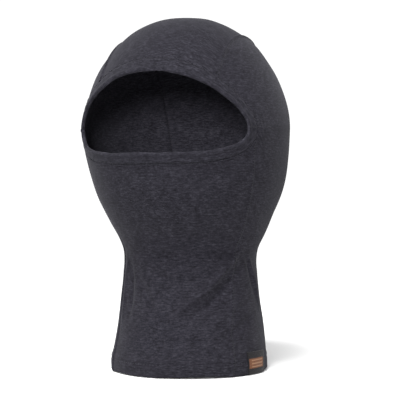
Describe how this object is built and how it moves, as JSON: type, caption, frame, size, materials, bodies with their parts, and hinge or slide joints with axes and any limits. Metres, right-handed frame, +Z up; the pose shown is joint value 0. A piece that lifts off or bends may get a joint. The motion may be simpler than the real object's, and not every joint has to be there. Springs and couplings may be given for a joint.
{
  "type": "balaclava",
  "caption": "Thin knitted balaclava in worn shape: egg-shaped hood with one wide face opening, tapering to a short flared neck with a turned-up hem.",
  "frame": {"origin": "middle of the whole hood's outline on the surface that the neck hem stands on", "axes": "+Z up from the neck hem to the crown, -Y the way the face opening looks, +X the wearer's left"},
  "size_m": [0.1825, 0.2033, 0.3166],
  "materials": {
    "knit": "fine heathered jersey knit, charcoal",
    "binding": "folded jersey strip, charcoal",
    "thread": "matt polyester sewing thread, dark grey",
    "woven_label": "tight satin-woven label, black with a plain rust block",
    "care_label": "blank satin tape, off-white"
  },
  "bodies": {
    "root": {"crown_panel": "knit", "left_side_panel": "knit", "right_side_panel": "knit", "front_panel": "knit", "upper_opening_binding": "binding", "lower_opening_binding": "binding", "left_crown_seam_thread": "thread", "right_crown_seam_thread": "thread", "left_side_seam_thread": "thread", "right_side_seam_thread": "thread", "upper_binding_stitching": "thread", "lower_binding_stitching": "thread", "left_corner_bartack": "thread", "right_corner_bartack": "thread", "hem_stitching": "thread", "side_label": "woven_label", "label_stitching": "thread", "care_label": "care_label"}
  },
  "joints": []
}
